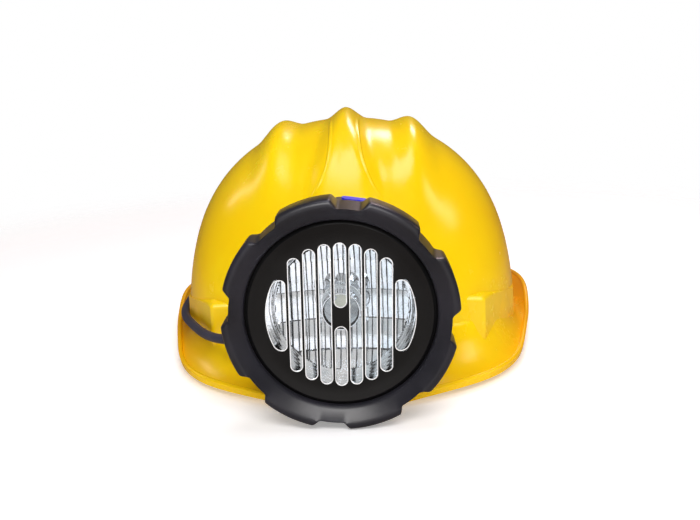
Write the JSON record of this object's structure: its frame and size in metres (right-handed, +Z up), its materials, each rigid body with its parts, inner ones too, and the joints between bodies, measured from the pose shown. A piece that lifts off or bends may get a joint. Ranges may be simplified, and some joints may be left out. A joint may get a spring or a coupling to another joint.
{
  "type": "miner safety helmet with cap lamp",
  "caption": "Ridged hard hat with a full brim and gutter, side bosses, a large round tilting cap lamp in front, a clipped cable, a rear battery case and a ratchet headband inside",
  "frame": {"origin": "Middle of the bounding box's base, on the surface that the helmet stands on with the flats of its front and rear lip", "axes": "+Z up, the face and the lamp look along -Y, +X is to the right when seen from the front"},
  "size_m": [0.231, 0.303, 0.1375],
  "materials": {
    "shell": "glossy moulded yellow",
    "lamp_bracket": "black moulded",
    "metal": "zinc plated",
    "lamp_body": "charcoal moulded",
    "face": "satin black",
    "clear": "clear",
    "chrome": "bright faceted",
    "rubber": "dark slate rubber",
    "blue": "blue moulded",
    "board": "green laminate",
    "emitter": "phosphor coated",
    "aluminium": "plain",
    "brass": "nickelled",
    "cell": "plain shrink sleeve",
    "battery": "black moulded",
    "band": "dark moulded",
    "foam": "cloth covered foam",
    "webbing": "woven"
  },
  "bodies": {
    "helmet": {"shell": "shell", "lamp_bracket": "lamp_bracket", "bracket_rivets": "metal", "hinge_pin": "metal", "pin_clip": "metal", "lamp_cable": "rubber", "cable_clip_side": "lamp_bracket", "cable_clip_rear": "lamp_bracket", "battery_gland": "rubber", "battery_case": "battery", "battery_cover": "battery", "cover_gasket": "rubber", "cover_screws": "metal", "cell_upper": "cell", "cell_lower": "cell", "battery_contacts": "brass", "protection_board": "board", "battery_rivets": "metal", "headband": "band", "sweatband": "foam", "key_front_left": "band", "key_front_right": "band", "key_rear_left": "band", "key_rear_right": "band", "crown_strap_upper": "webbing", "crown_strap_lower": "webbing", "ratchet_base": "band", "ratchet_cover": "band", "ratchet_screws": "metal", "detent_spring": "metal", "nape_pad": "foam"},
    "lamp": {"lamp_housing": "lamp_body", "face_plate": "face", "lens": "clear", "lens_gasket": "rubber", "reflector": "chrome", "led_board": "board", "led_emitter": "emitter", "centre_lens": "clear", "heat_sink": "aluminium", "driver_board": "board", "switch_body": "battery", "lamp_gland": "rubber", "button_spring": "metal"},
    "bezel": {"bezel_ring": "lamp_body"},
    "button": {"button": "blue"},
    "strap_left": {"strap_left": "band"},
    "strap_right": {"strap_right": "band"},
    "knob": {"knob": "band", "pinion": "band"}
  },
  "joints": [
    {"name": "lamp_tilt", "type": "hinge", "parent": "helmet", "child": "lamp", "pos_m": [0, -0.115, 0.033], "axis": [-1, 0, 0], "range_deg": [0, 25]},
    {"name": "bezel_turn", "type": "hinge", "parent": "lamp", "child": "bezel", "pos_m": [0, -0.142, 0.0548], "axis": [0, 1, 0], "range_deg": [0, 45]},
    {"name": "button_press", "type": "slide", "parent": "lamp", "child": "button", "axis": [-0.1564, 0, -0.9877], "range_m": [0, 0.0015], "stiffness_N_per_m": 300, "springref_m": -0.0015, "deforming": ["button_spring"]},
    {"name": "knob_turn", "type": "hinge", "parent": "helmet", "child": "knob", "pos_m": [0, 0.109, 0.025], "axis": [0, 1, 0], "range_deg": [-45, 180]},
    {"name": "strap_left_draw", "type": "hinge", "parent": "helmet", "child": "strap_left", "pos_m": [0, 0.022, 0.034], "axis": [0, 0, -1], "range_deg": [-2.9, 11.5]},
    {"name": "strap_right_draw", "type": "hinge", "parent": "helmet", "child": "strap_right", "pos_m": [0, 0.022, 0.016], "axis": [0, 0, 1], "range_deg": [-2.9, 11.5]}
  ],
  "couplings": [
    {"joint": "strap_left_draw", "follows": "knob_turn", "ratio": 0.062344},
    {"joint": "strap_right_draw", "follows": "knob_turn", "ratio": 0.062344}
  ]
}
